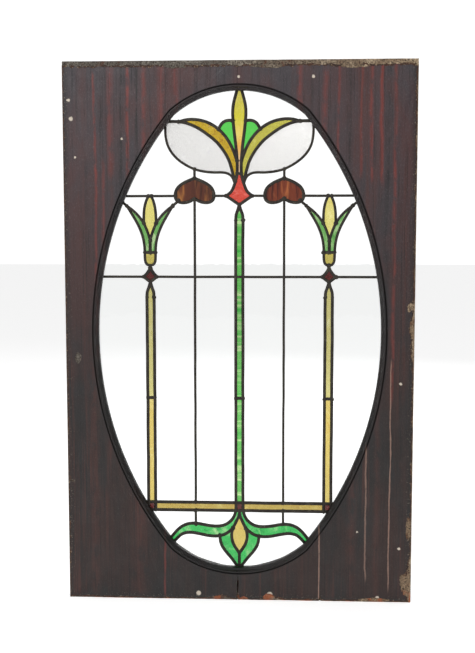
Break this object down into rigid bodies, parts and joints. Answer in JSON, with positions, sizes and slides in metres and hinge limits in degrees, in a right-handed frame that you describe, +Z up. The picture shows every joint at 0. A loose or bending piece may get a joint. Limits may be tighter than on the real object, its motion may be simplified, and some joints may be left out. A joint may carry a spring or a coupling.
{
  "type": "stained glass window",
  "caption": "Upright wooden window sash with a long oval leaded light: flowers, tulips, hearts and strips of coloured glass among clear panes.",
  "frame": {"origin": "middle of the sash's bottom edge, at mid-thickness, where it stands on its sill", "axes": "+X to the right seen from the moulded side, +Y through the sash to its puttied back, +Z up"},
  "size_m": [0.686, 0.035, 1.066],
  "materials": {
    "varnished_wood": "dark worn varnish, bare and chipped along the edges",
    "lead": null,
    "putty": "dry cracked glazing putty",
    "glass_clear": "clear, slightly wavy drawn glass",
    "glass_yellow": "streaky olive-yellow cathedral glass",
    "glass_amber": "mottled golden amber glass",
    "glass_green": "streaky emerald glass with pale bands",
    "glass_opal": "rippled pale opal glass",
    "glass_red": "streaky orange-red to crimson glass",
    "glass_oxblood": "dark oxblood glass",
    "glass_amber_brown": "streaky amber-brown to oxblood glass"
  },
  "bodies": {
    "root": {"amber_bar_left": "glass_amber", "amber_bar_right": "glass_amber", "bud_top": "glass_yellow", "clear_bottom_left": "glass_clear", "clear_bottom_right": "glass_clear", "clear_inner_lower_left": "glass_clear", "clear_inner_lower_right": "glass_clear", "clear_inner_upper_left": "glass_clear", "clear_inner_upper_right": "glass_clear", "clear_middle_lower_left": "glass_clear", "clear_middle_lower_right": "glass_clear", "clear_middle_upper_left": "glass_clear", "clear_middle_upper_right": "glass_clear", "clear_outer_lower_left": "glass_clear", "clear_outer_lower_right": "glass_clear", "clear_outer_upper_left": "glass_clear", "clear_outer_upper_right": "glass_clear", "clear_shoulder_left": "glass_clear", "clear_shoulder_right": "glass_clear", "clear_top_left": "glass_clear", "clear_top_right": "glass_clear", "flower_heart": "glass_amber", "glazing_putty": "putty", "green_petal_left": "glass_green", "green_petal_right": "glass_green", "green_strip_bottom": "glass_green", "green_strip_middle": "glass_green", "green_strip_top": "glass_green", "heart_left": "glass_amber_brown", "heart_right": "glass_amber_brown", "lead_cames": "lead", "lower_petal_left": "glass_green", "lower_petal_right": "glass_green", "opal_petal_left": "glass_opal", "opal_petal_right": "glass_opal", "red_diamond": "glass_red", "red_square_centre": "glass_oxblood", "red_square_left": "glass_oxblood", "red_square_right": "glass_oxblood", "sash_left": "varnished_wood", "sash_right": "varnished_wood", "scroll_left": "glass_green", "scroll_right": "glass_green", "small_diamond_left": "glass_oxblood", "small_diamond_right": "glass_oxblood", "tulip_bud_left": "glass_yellow", "tulip_bud_right": "glass_yellow", "tulip_cup_left": "glass_yellow", "tulip_cup_right": "glass_yellow", "tulip_leaf_inner_left": "glass_green", "tulip_leaf_inner_right": "glass_green", "tulip_leaf_outer_left": "glass_green", "tulip_leaf_outer_right": "glass_green", "yellow_leaf_left": "glass_yellow", "yellow_leaf_right": "glass_yellow", "yellow_strip_lower_left": "glass_amber", "yellow_strip_lower_right": "glass_amber", "yellow_strip_upper_left": "glass_yellow", "yellow_strip_upper_right": "glass_yellow"}
  },
  "joints": []
}
